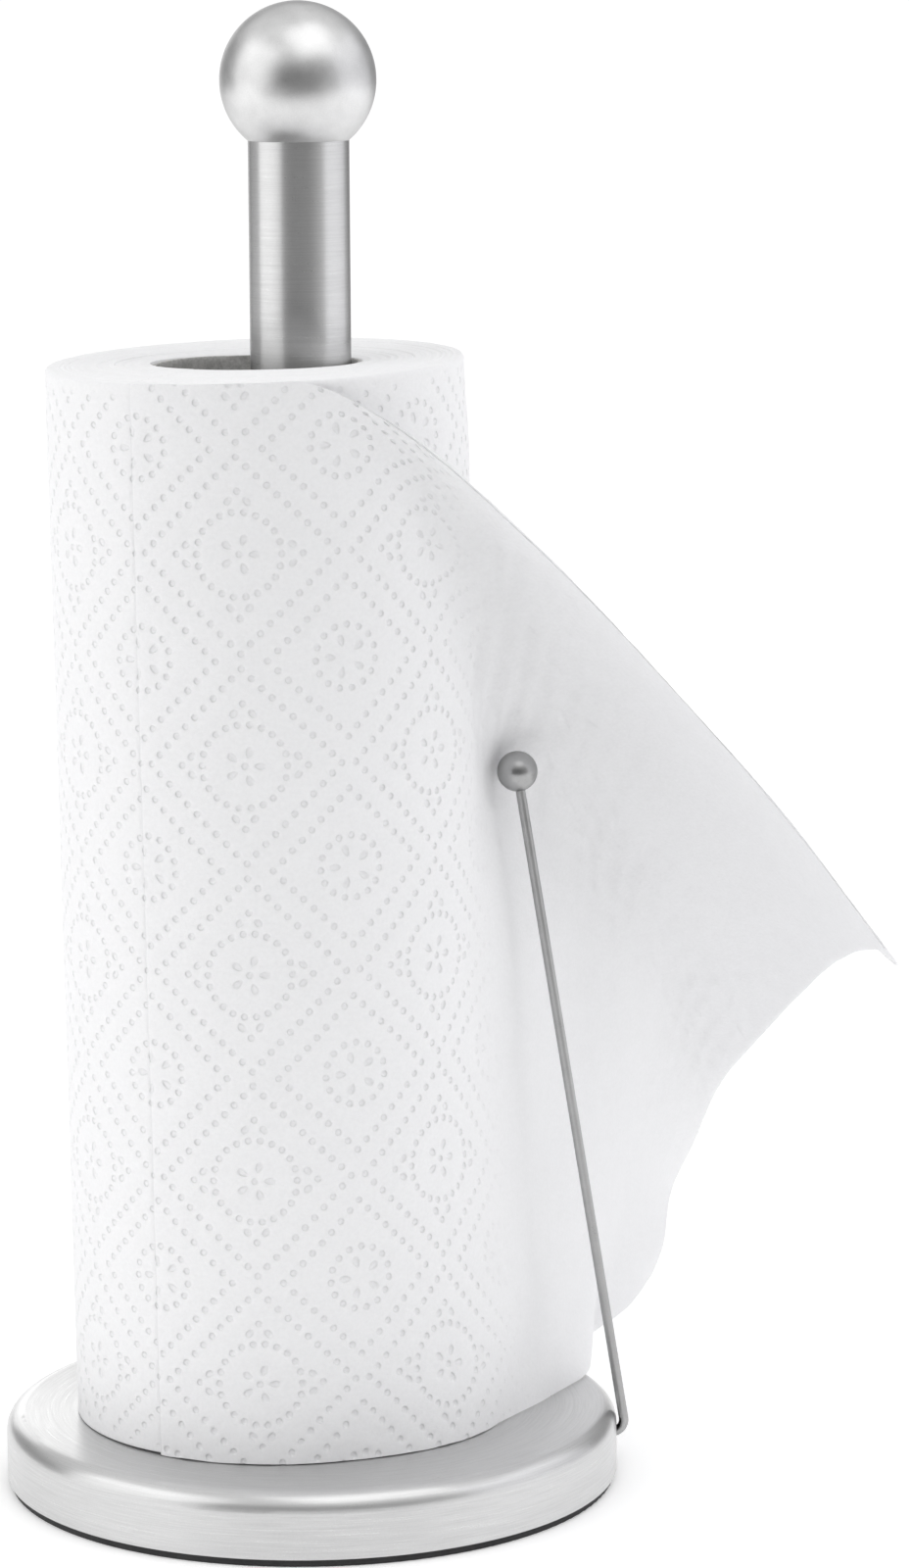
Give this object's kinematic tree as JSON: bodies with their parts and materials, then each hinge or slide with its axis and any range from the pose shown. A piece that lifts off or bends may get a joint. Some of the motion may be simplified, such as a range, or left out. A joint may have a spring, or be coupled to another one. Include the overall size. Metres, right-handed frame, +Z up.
{
  "type": "paper towel holder",
  "caption": "Free-standing kitchen roll holder: weighted round base, central post with ball finial, and a sprung wire arm that presses on the paper roll.",
  "frame": {"origin": "on the table, under the middle of the round base and the post's axis", "axes": "+Z up along the post; +X from the post towards the tension arm's pivot; -Y towards the user who faces the holder with the arm on the right"},
  "size_m": [0.2291, 0.2281, 0.3733],
  "materials": {
    "brushed_steel": "fine satin brushing",
    "wire_steel": "satin drawn wire",
    "zinc_steel": "bright zinc plating",
    "spring_steel": "drawn spring wire",
    "plate_steel": "black powder coat",
    "ballast_iron": "as cast and faced",
    "pad_rubber": "matt, slightly grained",
    "plug_plastic": "plain moulded",
    "paper": "soft dot-embossed tissue",
    "core_card": "spiral-wound grey board"
  },
  "bodies": {
    "stand": {"non_slip_pad": "pad_rubber", "bottom_plate": "plate_steel", "ballast_disc": "ballast_iron", "base_cover": "brushed_steel", "base_screws": "zinc_steel", "bracket_screws": "zinc_steel", "post_tube": "brushed_steel", "post_foot_plug": "plug_plastic", "post_top_plug": "plug_plastic", "tie_rod": "zinc_steel", "rod_nut": "zinc_steel", "rod_washer": "zinc_steel", "finial_ball": "brushed_steel", "finial_boss": "zinc_steel", "arm_bracket": "zinc_steel", "arm_pin": "zinc_steel", "pin_clip": "spring_steel", "arm_spring": "spring_steel", "loose_sheet": "paper"},
    "tension_arm": {"arm_hub": "zinc_steel", "arm_wire": "wire_steel", "arm_ball": "wire_steel"},
    "roll": {"roll_core": "core_card", "paper_roll": "paper"}
  },
  "joints": [
    {"name": "arm_swing", "type": "hinge", "parent": "stand", "child": "tension_arm", "pos_m": [0.07, 0, 0.0098], "axis": [0, 1, 0], "range_deg": [0, 13], "stiffness_Nm_per_rad": 0.35, "springref_deg": -34.38, "deforming": ["arm_spring"]},
    {"name": "roll_spin", "type": "hinge", "parent": "stand", "child": "roll", "pos_m": [-0.0074, 0, 0.01925], "axis": [-0.0134, 0, 0.9999], "continuous": true}
  ]
}
